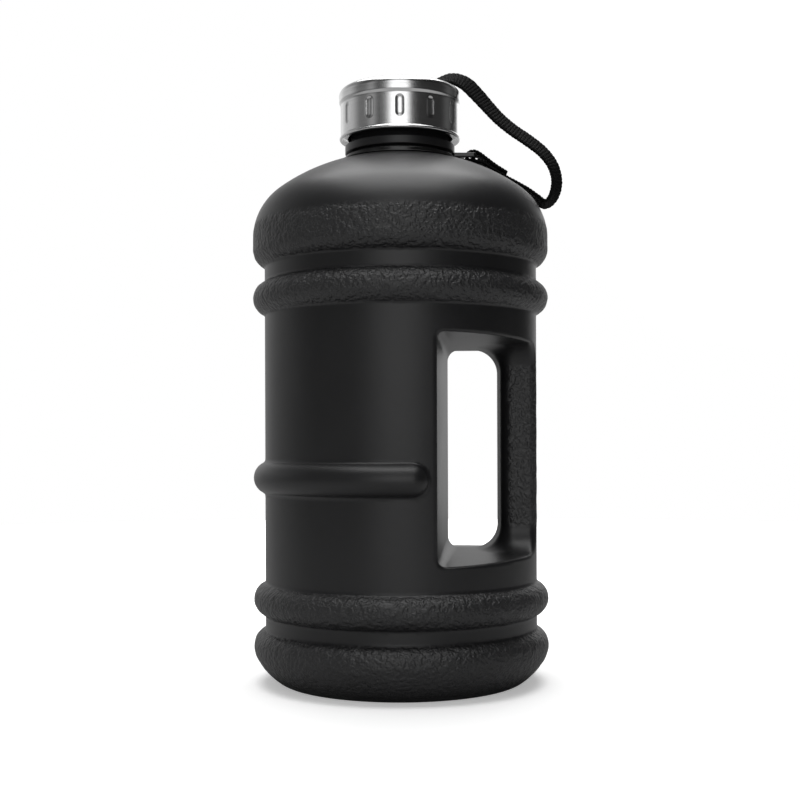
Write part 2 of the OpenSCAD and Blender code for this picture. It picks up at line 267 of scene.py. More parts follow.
def brushed_steel(name, around, roughness, anisotropy):
    """Steel brushed round the Z axis. A small value of around makes the lines long."""
    material, n = new_material(name)
    place = n.place()
    x, y, z = n.add("ShaderNodeSeparateXYZ", {0: place}).outputs[:3]
    radius = n.math("SQRT", n.math("ADD", n.math("MULTIPLY", x, x), n.math("MULTIPLY", y, y)))
    turn = n.math("MULTIPLY", n.math("ARCTAN2", y, x), around)
    out, up = n.math("MULTIPLY", radius, BRUSH_LINES), n.math("MULTIPLY", z, BRUSH_LINES)
    brushed = n.add("ShaderNodeCombineXYZ", {0: turn, 1: out, 2: up}).outputs[0]
    lines = n.noise(brushed, scale=1.0, detail=3.0, rough=0.65)
    smudge = n.noise(place, scale=70.0, detail=3.0, rough=0.6)
    tone = n.ramp(lines, [(0.25, (0.66, 0.66, 0.665)), (0.75, (0.82, 0.82, 0.82))])
    rough = n.line(lines, 0.08, n.line(smudge, 0.05, roughness))
    tangent = n.add("ShaderNodeTangent", direction_type="RADIAL", axis="Z").outputs[0]
    finish_material(n, {"Base Color": tone, "Metallic": 1.0, "Roughness": rough, "Anisotropic": anisotropy,
                        "Tangent": tangent}, lines, bump=0.000012)
    return material


WEAVE_ALONG, WEAVE_ACROSS = 0.75, 0.55  # mm from one yarn to the next


def webbing():
    """Black nylon webbing, nearly without shine: a fine plain weave over the real ribs of the mesh."""
    material, n = new_material("webbing")
    uv = n.add("ShaderNodeUVMap", uv_map="weave").outputs[0]
    part = n.add("ShaderNodeSeparateXYZ", {0: uv}).outputs
    along = n.math("SINE", n.math("MULTIPLY", part[0], 2 * math.pi / WEAVE_ALONG))
    across = n.math("SINE", n.math("MULTIPLY", part[1], 2 * math.pi / WEAVE_ACROSS))
    weave = n.math("MULTIPLY", along, across)
    fuzz = n.noise(n.place(), scale=2600.0, detail=3.0, rough=0.7)
    tone = n.ramp(n.line(weave, 0.25, fuzz), [(0.2, 0.0025), (0.8, 0.008)])
    rough = n.line(fuzz, 0.2, 0.55)
    finish_material(n, {"Base Color": tone, "Roughness": rough, "Specular IOR Level": 0.06},
                    n.line(weave, 0.5, fuzz), bump=0.00012)
    return material


# ---- mesh helpers ----


def new_piece(name, vertices, faces, material):
    """A smooth mesh object from vertices in metres."""
    mesh = bpy.data.meshes.new(name)
    mesh.from_pydata([tuple(v) for v in vertices], [], [tuple(f) for f in faces])
    mesh.update()
    mesh.polygons.foreach_set("use_smooth", [True] * len(mesh.polygons))
    piece = bpy.data.objects.new(name, mesh)
    scene.collection.objects.link(piece)
    if material:
        mesh.materials.append(material)
    return piece


def boolean(piece, other, operation):
    """Applies a boolean with other, which is then deleted."""
    modifier = piece.modifiers.new("boolean", "BOOLEAN")
    modifier.solver = "MANIFOLD"
    modifier.operation = operation
    modifier.object = other
    bpy.context.view_layer.objects.active = piece
    bpy.ops.object.modifier_apply(modifier=modifier.name)
    bpy.data.objects.remove(other, do_unlink=True)


def arc(centre, radius, start, stop, count):
    """Points on an arc in the (radius, height) plane, angles in degrees."""
    angles = np.radians(np.linspace(start, stop, count))
    return [(centre[0] + radius * math.cos(a), centre[1] + radius * math.sin(a)) for a in angles]


def revolve(outline, count, shape=None):
    """Vertices (mm) and faces of a closed outline turned round Z.

    Its (radius, height) points run anticlockwise. shape(angle, radius, height) may return other radii.
    """
    outline = np.array(outline, float)
    angles = np.arange(count) * 2 * np.pi / count
    a, r = np.meshgrid(angles, outline[:, 0], indexing="ij")
    z = np.broadcast_to(outline[:, 1], r.shape).copy()
    if shape:
        r = shape(a, r, z)
    vertices = np.stack([r * np.cos(a), r * np.sin(a), z], -1).reshape(-1, 3)
    m = len(outline)
    i, j = np.meshgrid(np.arange(count), np.arange(m), indexing="ij")
    i2, j2 = (i + 1) % count, (j + 1) % m
    faces = np.stack([i * m + j, i2 * m + j, i2 * m + j2, i * m + j2], -1).reshape(-1, 4)
    return vertices, faces


def revolved_piece(name, outline, count, material=None, shape=None):
    """A revolved mesh. An outline that starts and ends on the axis is closed there with one point each."""
    if outline[0][0] > 0:
        vertices, faces = revolve(outline, count, shape)
        return new_piece(name, vertices * MM, faces, material)
    vertices, faces = revolve(outline[1:-1], count, shape)
    m = len(outline) - 2
    keep = [f for f in faces if f[0] % m != m - 1]
    low, high = len(vertices), len(vertices) + 1
    for i in range(count):
        k = (i + 1) % count
        keep.append((low, k * m, i * m))
        keep.append((high, i * m + m - 1, k * m + m - 1))
    vertices = np.vstack([vertices, [[0, 0, outline[0][1]], [0, 0, outline[-1][1]]]])
    return new_piece(name, vertices * MM, keep, material)


# ---- jug body: a distance field in mm, meshed and moved on to the true surface ----
BODY_R, BULGE, RIB_H = 60.5, 5.1, 14.0  # plain wall's radius, how far a rib stands out, and its height
OUTER_R = BODY_R + BULGE
RIB_R = (RIB_H**2 / 4 + BULGE**2) / (2 * BULGE)
RIB_C = OUTER_R - RIB_R
LOWER_RIB, HALF_RIB, UPPER_RIB = 37.4, 90.9, 170.1  # heights of their middles
SHOULDER, BAND = 184.5, 5.2  # where the shoulder's bulge starts, and the upright band at its widest place
TRUNK_MIDDLE, TRUNK_HALF = 102, 89  # the plain wall's middle height and half its length
WALL = 1.5
PUSH_UP, PUSH_R, FOOT_IN = 3.0, 37.0, 43.0  # depth, top radius and bottom radius of the underside's hollow
NECK_R, MOUTH_R, MOUTH_Z = 21.8, 19.3, 258.4
NECK_MIDDLE, NECK_HALF = 228, 9
RIB_FILLET, NECK_FILLET, FOOT_ROUND = 0.9, 1.5, 0.8
HALF_RIB_END = math.radians(86)

# The grip.
WINDOW_IN, WINDOW_OUT = 21.1, 43.2  # the pocket's inner wall and the bar's inner face, from the jug's axis
WINDOW_LOW, WINDOW_HIGH = 59.4, 147.5
POCKET_DRAFT, WINDOW_DRAFT = 0.112, 0.065  # how much the pocket widens for each mm towards its mouth
CORNER_R, CORNER_LESS, CORNER_REACH = 5.0, 1.7, 45  # its corners are tighter by CORNER_LESS at its mouth
BAR_HALF, BAR_DRAFT, BAR_ROUND, BAR_END_ROUND = 12.0, 1.4, 5.0, 10.7
LIP, BAR_LIP, BAR_LIP_REACH = 1.1, 2.1, 9  # rounding of its mouth's edge, and what is added near the bar


def towards(centre, distance, degrees):
    """The point at this distance from centre in this direction."""
    a = math.radians(degrees)
    return (centre[0] + distance * math.cos(a), centre[1] + distance * math.sin(a))


# Base arcs as (centre, radius, angle where it starts), from the foot up to the widest ring.
FOOT_R, BASE_R, SIDE_R = 8.0, 30.0, 12.0
FOOT_TURN, SIDE_TURN = 55, 30
SIN_FOOT, SIN_SIDE = math.sin(math.radians(FOOT_TURN)), 0.5
BASE_MID = SIDE_R * SIN_SIDE + BASE_R * (SIN_FOOT - SIN_SIDE) + FOOT_R * (1 - SIN_FOOT)
SIDE_C = (OUTER_R - SIDE_R, BASE_MID)
BASE_C = towards(SIDE_C, SIDE_R - BASE_R, -SIDE_TURN)
FOOT_C = towards(BASE_C, BASE_R - FOOT_R, -FOOT_TURN)
BASE_ARCS = [(FOOT_C, FOOT_R, -90), (BASE_C, BASE_R, -FOOT_TURN), (SIDE_C, SIDE_R, -SIDE_TURN),
             ((RIB_C, BASE_MID), RIB_R, 0)]
# Shoulder arcs in the same form, from under the bulge to the foot of the neck.
TIGHT_R, WIDE_R, DOME_TURN = 25.8, 83.3, 53.7
SHOULDER_Z = SHOULDER + RIB_H / 2
TIGHT_C = (OUTER_R - TIGHT_R, SHOULDER_Z)
SHOULDER_ARCS = [((RIB_C, SHOULDER_Z), RIB_R, -90), (TIGHT_C, TIGHT_R, 0),
                 (towards(TIGHT_C, TIGHT_R - WIDE_R, DOME_TURN), WIDE_R, DOME_TURN)]


def join(a, b, radius):
    """Union of two distance fields with a round fillet between them."""
    rounding = np.hypot(np.maximum(radius - a, 0), np.maximum(radius - b, 0))
    return np.maximum(radius, np.minimum(a, b)) - rounding


def common(a, b, radius):
    """What two distance fields share, with a round edge between them."""
    rounding = np.hypot(np.maximum(radius + a, 0), np.maximum(radius + b, 0))
    return np.minimum(-radius, np.maximum(a, b)) + rounding


def arc_chain(r, z, arcs):
    """Distance to a convex outline of tangent arcs."""
    (centre, radius, _), *others = arcs
    d = np.hypot(r - centre[0], z - centre[1]) - radius
    for centre, radius, start in others:
        a = math.radians(start)
        beyond = (z - centre[1]) * math.cos(a) - (r - centre[0]) * math.sin(a) > 0
        d = np.where(beyond, np.hypot(r - centre[0], z - centre[1]) - radius, d)
    return d


def outer_field(x, y, z):
    """The jug's outside without the grip, up to the middle of the neck's bead."""
    r = np.hypot(x, y)
    solid = np.maximum(r - BODY_R, np.abs(z - TRUNK_MIDDLE) - TRUNK_HALF)
    solid = join(solid, arc_chain(np.maximum(r, FOOT_C[0]), z, BASE_ARCS), RIB_FILLET)
    lifted = np.where(z > SHOULDER_Z, np.maximum(SHOULDER_Z, z - BAND), z)
    low_r = np.where(lifted > SHOULDER_Z, r, np.maximum(r, RIB_C))
    solid = join(solid, arc_chain(low_r, lifted, SHOULDER_ARCS), RIB_FILLET)
    for height in (LOWER_RIB, UPPER_RIB):
        solid = join(solid, np.hypot(r - RIB_C, z - height) - RIB_R, RIB_FILLET)
    end = RIB_C * np.array([math.cos(HALF_RIB_END), math.sin(HALF_RIB_END)])
    ball = np.sqrt((x - end[0]) ** 2 + (np.abs(y) - end[1]) ** 2 + (z - HALF_RIB) ** 2) - RIB_R
    ring = np.hypot(r - RIB_C, z - HALF_RIB) - RIB_R
    beyond = np.arctan2(np.abs(y), x) > HALF_RIB_END
    solid = join(solid, np.where(beyond, ring, ball), RIB_FILLET)
    solid = join(solid, np.maximum(r - NECK_R, np.abs(z - NECK_MIDDLE) - NECK_HALF), NECK_FILLET)
    slope = math.hypot(PUSH_UP, FOOT_IN - PUSH_R)
    push = np.maximum(z - PUSH_UP, ((r - FOOT_IN) * PUSH_UP + z * (FOOT_IN - PUSH_R)) / slope)
    return common(solid, -push, FOOT_ROUND)


def bar_field(x, y):
    """The grip bar as an upright column with round edges, open outwards."""
    s = np.abs(y)
    inner_face = WINDOW_OUT + BAR_DRAFT * np.minimum(s, BAR_HALF) / BAR_HALF
    return common(inner_face - x, s - BAR_HALF, BAR_ROUND)


def body_field(x, y, z):
    """The jug's outside with the grip: a drafted pocket from each side round the bar."""
    s = np.abs(y)
    middle, half = (WINDOW_LOW + WINDOW_HIGH) / 2, (WINDOW_HIGH - WINDOW_LOW) / 2
    corner = CORNER_R - CORNER_LESS * np.clip(s / CORNER_REACH, 0, 1)
    pocket = common(WINDOW_IN - POCKET_DRAFT * s - x, np.abs(z - middle) - half - WINDOW_DRAFT * s, corner)
    bar = bar_field(x, y)
    space = common(pocket, -bar, BAR_END_ROUND)
    lip = LIP + BAR_LIP * (1 - np.clip(bar / BAR_LIP_REACH, 0, 1))
    return common(outer_field(x, y, z), -space, lip)


def field_normal(field, p, step=0.05):
    """Unit gradient of a field at points."""
    g = np.empty_like(p)
    for k in range(3):
        q = np.zeros(3)
        q[k] = step
        g[:, k] = (field(*(p + q).T) - field(*(p - q).T)) / (2 * step)
    length = np.linalg.norm(g, axis=1, keepdims=True)
    return g / np.maximum(length, 1e-6), length[:, 0]


VOXEL_OFFSET = 0.37  # keeps the voxels' layers off the flat foot


def mesh_field(field, step, level, high):
    """Quads on field = level (mm): voxels first, then evened out and moved on to the true surface."""
    reach = OUTER_R + 3 * step
    low = np.array([-reach, -reach, -3 * step + VOXEL_OFFSET])
    count = [int(2 * reach / step) + 1, int(2 * reach / step) + 1, int((high - low[2]) / step) + 4]
    axes = [low[k] + step * np.arange(count[k], dtype=np.float32) for k in range(3)]
    values = np.empty(count, np.float32)
    gx, gy = np.meshgrid(axes[0], axes[1], indexing="ij")
    for k, height in enumerate(axes[2]):
        values[:, :, k] = field(gx, gy, np.full_like(gx, height)) - level
    grid = openvdb.FloatGrid(3.0 * step)
    grid.copyFromArray(np.clip(values, -3 * step, 3 * step))
    points, quads = grid.convertToQuads()
    p = points.astype(float) * step + low
    for _ in range(2):
        middle = p[quads].mean(axis=1)
        total = np.zeros_like(p)
        uses = np.zeros(len(p))
        for k in range(4):
            np.add.at(total, quads[:, k], middle)
            np.add.at(uses, quads[:, k], 1)
        p = total / np.maximum(uses, 1)[:, None]
        for _ in range(3):
            normal, length = field_normal(field, p)
            away = (field(*p.T) - level) / np.maximum(length, 0.3)
            p -= np.clip(away, -step, step)[:, None] * normal
    return p, quads


# ---- the body's neck, cavity and grain ----
NECK_LOW = 232.6  # where the turned neck starts, inside the shoulder's own stub
BEAD_R, BEAD_LOW, BEAD_HIGH = 24.5, 234.9, 238.8
THREAD_PITCH, THREAD_DEPTH, THREAD_Z, THREAD_TURNS = 5.0, 1.2, 244.5, 2.2


def neck_outline():
    """Outline of the neck from inside the shoulder up to the mouth, closed at the axis."""
    soft, rim = 0.6, 0.5
    return [(0, NECK_LOW), (NECK_R, NECK_LOW), (NECK_R, BEAD_LOW - 0.3), (NECK_R + 0.3, BEAD_LOW),
            *arc((BEAD_R - soft, BEAD_LOW + soft), soft, -90, 0, 7),
            *arc((BEAD_R - soft, BEAD_HIGH - soft), soft, 0, 90, 7),
            (NECK_R + 0.4, BEAD_HIGH), (NECK_R, BEAD_HIGH + 0.4), (NECK_R, 243.0), (NECK_R, 250.0),
            *arc((NECK_R - rim, MOUTH_Z - rim), rim, 0, 90, 6), (0, MOUTH_Z)]


def thread_ridge(name):
    """The thread as a helical ridge that fades at both ends."""
    per_turn, sink, fade_rings = 90, 0.4, 16
    rings = int(THREAD_TURNS * per_turn)
    half = [(-sink, 1.15), (0.45, 0.85), (0.9, 0.55)]
    section = [(out, -up) for out, up in half] + [(1.0, 0.0)] + half[::-1]
    vertices, faces, m = [], [], len(section)
    for i in range(rings + 1):
        angle = 2 * math.pi * i / per_turn
        fade = min(1.0, (i + 0.6) / fade_rings, (rings - i + 0.6) / fade_rings)
        middle = THREAD_Z + THREAD_PITCH * i / per_turn
        for out, up in section:
            r = NECK_R + (out * THREAD_DEPTH * fade if out > 0 else out)
            vertices.append((r * math.cos(angle), r * math.sin(angle), middle + up * (0.4 + 0.6 * fade)))
    for i in range(rings):
        for j in range(m):
            faces.append((i * m + j, i * m + (j + 1) % m, (i + 1) * m + (j + 1) % m, (i + 1) * m + j))
    faces.append(tuple(reversed(range(m))))
    faces.append(tuple(rings * m + j for j in range(m)))
    faces = [tuple(reversed(f)) for f in faces]
    return new_piece(name, np.array(vertices) * MM, faces, None)


def smooth_step(x, low, high):
    """0 below low, 1 above high and a smooth ramp between them."""
    t = np.clip((x - low) / (high - low), 0, 1)
    return t * t * (3 - 2 * t)


def between(x, rise, fall):
    """1 from the end of rise to the start of fall, with a smooth ramp over each of them."""
    return smooth_step(x, *rise) * (1 - smooth_step(x, *fall))


# Heights between which what stands proud of the plain wall is grained: base, lower rib, upper rib, shoulder.
GRAIN_BANDS = [(-10.0, 25.0), (29.5, 45.0), (162.0, 178.0), (183.5, 196.0)]
BAR_GRAIN_LOW, BAR_GRAIN_HIGH = 68.5, 141.0


def grain_zone(p):
    """Where the mould is grained, 0 to 1: both big bulges, the two full ribs and the bar's faces."""
    x, y, z = p.T
    r = np.hypot(x, y)
    zone = np.zeros(len(p))
    proud = smooth_step(r, BODY_R + 0.3, BODY_R + 1.0)
    for low, high in GRAIN_BANDS:
        zone = np.maximum(zone, between(z, (low, low + 1), (high - 1, high)) * proud)
    zone = np.maximum(zone, between(z, (2.0, 4.0), (20.0, 25.0)) * smooth_step(r, 55, 57))
    zone = np.maximum(zone, between(z, (190, 192), (201.0, 203.0)))
    sides = (BAR_HALF + 0.6, BAR_HALF + 1.6)
    bar = smooth_step(x, WINDOW_OUT + 3.2, WINDOW_OUT + 5.2) * (1 - smooth_step(np.abs(y), *sides))
    bar = bar * between(z, (BAR_GRAIN_LOW, BAR_GRAIN_LOW + 3), (BAR_GRAIN_HIGH - 3, BAR_GRAIN_HIGH))
    return np.maximum(zone, bar)


NOISE_VALUES = 4096
HASH_PRIMES = (73856093, 19349663, 83492791)


def lattice_noise(p, scale, seed):
    """Smooth noise, -1 to 1, from random values on a cubic lattice, one of which is scale mm."""
    random = np.random.default_rng(seed)
    table = random.uniform(-1, 1, NOISE_VALUES)
    q = p / scale
    base = np.floor(q).astype(int)
    f = q - base
    f = f * f * (3 - 2 * f)
    total = np.zeros(len(p))
    for corner in range(8):
        c = np.array([corner & 1, corner >> 1 & 1, corner >> 2 & 1])
        key = np.bitwise_xor.reduce((base + c) * np.array(HASH_PRIMES), axis=1) & (NOISE_VALUES - 1)
        weight = np.prod(np.where(c, f, 1 - f), axis=1)
        total += weight * table[key]
    return total


def grain_height(p):
    """Height of the moulded grain in mm: a soft undulation. The pebbles on it are the material's bump."""
    return 0.13 * lattice_noise(p, 2.7, 3) + 0.05 * lattice_noise(p, 4.1, 5)


OUTSIDE_TOP, ON_SURFACE, SLOPE_STEP = 232, 0.2, 0.25


def grain_relief(p):
    """Height of the grain in mm where the mould is grained, and 0 elsewhere."""
    return grain_zone(p) * grain_height(p)


def add_grain(piece):
    """Moves the outside along its normal by the grain, sets the grain attribute and returns exact normals."""
    mesh = piece.data
    p = np.empty(len(mesh.vertices) * 3)
    mesh.vertices.foreach_get("co", p)
    p = p.reshape(-1, 3) / MM
    zone = grain_zone(p)
    outside = (np.abs(body_field(*p.T)) < ON_SURFACE) & (p[:, 2] < OUTSIDE_TOP)
    zone = zone * outside
    normal, _ = field_normal(body_field, p)
    moved = p + (zone * grain_height(p))[:, None] * normal
    slope = np.empty_like(p)
    for k in range(3):
        step = np.zeros(3)
        step[k] = SLOPE_STEP
        slope[:, k] = (grain_relief(p + step) - grain_relief(p - step)) / (2 * SLOPE_STEP)
    slope -= (slope * normal).sum(axis=1, keepdims=True) * normal
    shading = normal - slope * outside[:, None]
    shading /= np.linalg.norm(shading, axis=1, keepdims=True)
    mesh.vertices.foreach_set("co", (moved * MM).ravel())
    attribute = mesh.attributes.new("grain", "FLOAT", "POINT")
    attribute.data.foreach_set("value", zone.astype(np.float32))
    mesh.update()
    own = np.empty(len(mesh.vertices) * 3)
    mesh.vertex_normals.foreach_get("vector", own)
    return np.where(outside[:, None], shading, own.reshape(-1, 3))


BODY_STEP, CAVITY_STEP, FIELD_TOP = 1.25, 2.8, 237.0
BORE_LOW, BORE_EDGE = 226, 0.5
points, quads = mesh_field(body_field, BODY_STEP, 0.0, FIELD_TOP)
body = new_piece("jug_body_visual", points * MM, quads, body_plastic())
neck = revolved_piece("neck", neck_outline(), 192)
boolean(neck, thread_ridge("thread"), "UNION")
boolean(body, neck, "UNION")
points, quads = mesh_field(body_field, CAVITY_STEP, -WALL, FIELD_TOP)
cavity = new_piece("cavity", points * MM, quads, None)
bore_outline = [(0, BORE_LOW), (MOUTH_R, BORE_LOW), (MOUTH_R, MOUTH_Z - BORE_EDGE),
                (MOUTH_R + BORE_EDGE, MOUTH_Z), (MOUTH_R + BORE_EDGE, MOUTH_Z + 2), (0, MOUTH_Z + 2)]
bore = revolved_piece("bore", bore_outline, 192)
boolean(cavity, bore, "UNION")
boolean(body, cavity, "DIFFERENCE")
shading = add_grain(body)
body.data.polygons.foreach_set("use_smooth", [True] * len(body.data.polygons))
body.data.normals_split_custom_set_from_vertices(shading.tolist())
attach(body, "jug")
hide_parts("jug_body")

# ---- cap shell ----
CAP_R, CAP_LOW, CAP_TOP = 26.5, 241.1, 264.0
SHOULDER_R, SHOULDER_ROUND, SHELL_T = 27.2, 3.2, 1.0
SIDE_LOW, SIDE_HIGH = 243.1, 256.3  # the straight wall
STEP_LOW, STEP_HIGH, STEP_OUT = 256.5, 258.6, 0.6  # where the wall eases out to the shoulder
ROW = 0.3  # height from one row of points on the wall to the next
DENTS, DENT_DEPTH, DENT_TOOL_R, DENT_LOW, DENT_HIGH = 12, 0.6, 3.9, 248.2, 253.6
DENT_EDGE, DENT_EASE, DENT_LESS = 0.12, 1.664, 0.03  # how a dent's edge is eased into the wall
RIVET_HOLE_R = 2.1


def cap_outline():
    """The steel shell's section, anticlockwise from the underside of its rolled rim."""
    roll = 0.8
    side = [(CAP_R, z) for z in np.arange(SIDE_LOW, SIDE_HIGH, ROW)]
    rows = np.arange(STEP_LOW, STEP_HIGH, ROW)
    step = [(CAP_R + STEP_OUT * smooth_step(z, SIDE_HIGH, STEP_HIGH - 0.2), z) for z in rows]
    corner = (SHOULDER_R - SHOULDER_ROUND, CAP_TOP - SHOULDER_ROUND)
    inside, under = CAP_R - SHELL_T, CAP_TOP - SHELL_T
    return [*arc((CAP_R - 0.3, CAP_LOW + roll), roll, -90, 66, 12), *side, *step,
            *arc(corner, SHOULDER_ROUND, -12, 90, 16),
            *[(r, CAP_TOP) for r in np.linspace(corner[0] - 1, RIVET_HOLE_R, 16)],
            *[(r, under) for r in np.linspace(RIVET_HOLE_R, corner[0], 8)],
            (inside, under - 1.4), (inside, 250), (inside, CAP_LOW + 2 * roll),
            (CAP_R - 3, CAP_LOW + 2 * roll), (CAP_R - 3, CAP_LOW + roll), (CAP_R - 1.1, CAP_LOW + roll)]


def dent_shape(a, r, z):
    """Presses the dents into the shell's outer side."""
    pitch = 2 * np.pi / DENTS
    offset = (a + np.pi / 2 + pitch / 2) % pitch - pitch / 2
    u = offset * CAP_R
    v = np.maximum(np.abs(z - (DENT_LOW + DENT_HIGH) / 2) - (DENT_HIGH - DENT_LOW) / 2, 0)
    d = np.hypot(u, v)
    depth = np.sqrt(np.maximum(DENT_TOOL_R**2 - d**2, 0)) - (DENT_TOOL_R - DENT_DEPTH)
    eased = DENT_EASE * np.clip(depth + DENT_EDGE, 0, 2 * DENT_EDGE) ** 2
    depth = np.where(depth > DENT_EDGE, depth - DENT_LESS, eased)
    on_wall = (r > CAP_R - 0.1) & (z > SIDE_LOW - 0.1) & (z < CAP_TOP - 2)
    return r - np.where(on_wall, depth, 0)


cap_steel = brushed_steel("cap_steel", 5.0, 0.07, 0.85)
cap = revolved_piece("cap_shell_visual", cap_outline(), 480, cap_steel, dent_shape)
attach(cap, "cap")
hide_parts("cap_shell")

# ---- tether ring ----
COLLAR_IN, COLLAR_R, COLLAR_HIGH = 22.2, 24.7, 233.7
FLANGE_R, FLANGE_LOW, FLANGE_RISE, FLANGE_T = 27.0, 231.3, 1.0, 0.5
RELIEF_WIDE, RELIEF_HIGH = 1.6, 1.1  # how far the inner lower corner is cut back to clear the neck's fillet
TAB_LOW, TAB_HIGH, TAB_HALF_W, TAB_END = 232.7, 234.7, 7.2, 33.8
SLOT_IN, SLOT_OUT, SLOT_HALF_W = 28.6, 31.6, 5.6


def ring_outline():
    """The ring's section: a thin flange that rises inwards, and the collar on it."""
    soft, fillet, edge = 0.45, 0.4, 0.2
    under = FLANGE_RISE * (1 - RELIEF_WIDE / (FLANGE_R - COLLAR_IN))
    return [(COLLAR_IN, FLANGE_LOW + FLANGE_RISE + RELIEF_HIGH),
            (COLLAR_IN + RELIEF_WIDE, FLANGE_LOW + under), (FLANGE_R - 0.1, FLANGE_LOW + 0.03),
            *arc((FLANGE_R - edge, FLANGE_LOW + 0.22), edge, -60, 90, 6),
            *arc((COLLAR_R + fillet, FLANGE_LOW + FLANGE_T + 0.32), fillet, -90, -180, 5),
            *arc((COLLAR_R - soft, COLLAR_HIGH - soft), soft, 0, 90, 6),
            (COLLAR_IN + edge, COLLAR_HIGH), (COLLAR_IN, COLLAR_HIGH - edge)]


def rounded_box(name, low, high, soft, across):
    """A box from low to high (mm). Its upright edges are rounded by across, and the others by soft."""
    bm = bmesh.new()
    bmesh.ops.create_cube(bm, size=1)
    low, high = np.array(low, float), np.array(high, float)
    for v in bm.verts:
        v.co = Vector(((np.array(v.co) + 0.5) * (high - low) + low) * MM)
    upright = [e for e in bm.edges if abs(e.verts[0].co.z - e.verts[1].co.z) > 1e-6]
    bmesh.ops.bevel(bm, geom=upright, offset=across * MM, segments=6, profile=0.5, affect="EDGES")
    if soft:
        flat = [e for e in bm.edges if e.calc_face_angle(0) > 1.2]
        bmesh.ops.bevel(bm, geom=flat, offset=soft * MM, segments=3, profile=0.5, affect="EDGES")
    bmesh.ops.recalc_face_normals(bm, faces=bm.faces)
    mesh = bpy.data.meshes.new(name)
    bm.to_mesh(mesh)
    bm.free()
    piece = bpy.data.objects.new(name, mesh)
    scene.collection.objects.link(piece)
    return piece


def shade_by_angle(piece, degrees):
    """Smooth shading with sharp edges above this angle."""
    piece.data.polygons.foreach_set("use_smooth", [True] * len(piece.data.polygons))
    piece.data.set_sharp_from_angle(angle=math.radians(degrees))


tether = revolved_piece("tether_ring_visual", ring_outline(), 256, gloss_plastic())
tab = rounded_box("tab", low=(COLLAR_IN + 1, -TAB_HALF_W, TAB_LOW), high=(TAB_END, TAB_HALF_W, TAB_HIGH),
                  soft=0.35, across=1.2)
slot = rounded_box("slot", low=(SLOT_IN, -SLOT_HALF_W, TAB_LOW - 1), high=(SLOT_OUT, SLOT_HALF_W, TAB_HIGH + 1),
                   soft=0, across=0.6)
boolean(tab, slot, "DIFFERENCE")
boolean(tether, tab, "UNION")
shade_by_angle(tether, 35)
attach(tether, "tether")
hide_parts("tether_ring")

# ---- carry strap ----
# The webbing's middle line in mm as (x, z, turn of its width about the line), from its end on the cap,
# out over the rim, down to the fold, back up to the tab, round the tab's bar and to its cut end.
STRAP_ROUTE = [
    (-7, 265.1, 0), (-1, 265.1, 0), (5.5, 265.1, 0), (11, 266.2, 6), (17, 268.2, 22),
    (23.5, 269.3, 42), (29.5, 267.1, 51), (34.6, 262.2, 50), (39.6, 256.6, 46), (44.7, 251.2, 44),
    (50.6, 246.3, 43), (57.3, 241.7, 43), (63.8, 236.6, 41), (68.3, 230.8, 38), (70.2, 224.6, 34),
    (69.8, 219.2, 30), (67.8, 214.9, 22), (64.7, 213, 11), (61.4, 215.6, 4), (57.4, 218.8, 0),
    (52, 221.9, 0), (46.8, 224.7, 0), (41.6, 228.1, 0), (36.8, 231, 0), (33.2, 231.7, 0),
    (30.6, 232, 0), (29.9, 233.7, 0), (30.8, 235.4, 0), (33, 235.9, 0), (35, 235.2, 0), (37, 233.8, 0),
    (42.4, 229.7, 0), (47.7, 226.3, 0)]
STRAP_W, STRAP_T = 10.0, 1.6
RIB_PITCH, RIB_SHARE, SELVEDGE_PITCH, SELVEDGE_SHARE = 1.5, 0.32, 3.3, 0.035
EDGE_ROUND, EDGE_T = 0.16, 0.35  # the thinned edge, as shares of half the width and of the thickness


def spline(a, b, c, d, t):
    """The Catmull-Rom curve from b to c, at t from 0 to 1."""
    return 0.5 * (2 * b + t * (c - a) + t**2 * (2 * a - 5 * b + 4 * c - d) + t**3 * (3 * b - a - 3 * c + d))


def strap_points(step):
    """Points (x, z, turn) about step mm apart along the route, and how far along it each of them is."""
    route = np.array(STRAP_ROUTE, float)
    padded = np.vstack([route[0], route, route[-1]])
    dense = []
    for i in range(len(route) - 1):
        for t in np.arange(0, 1, 0.02):
            dense.append(spline(*padded[i : i + 4], t))
    dense.append(route[-1])
    dense = np.array(dense)
    along = np.concatenate([[0], np.cumsum(np.hypot(*np.diff(dense[:, :2], axis=0).T))])
    count = int(along[-1] / step)
    where = np.linspace(0, along[-1], count + 1)
    return np.stack([np.interp(where, along, dense[:, k]) for k in range(3)], -1), where


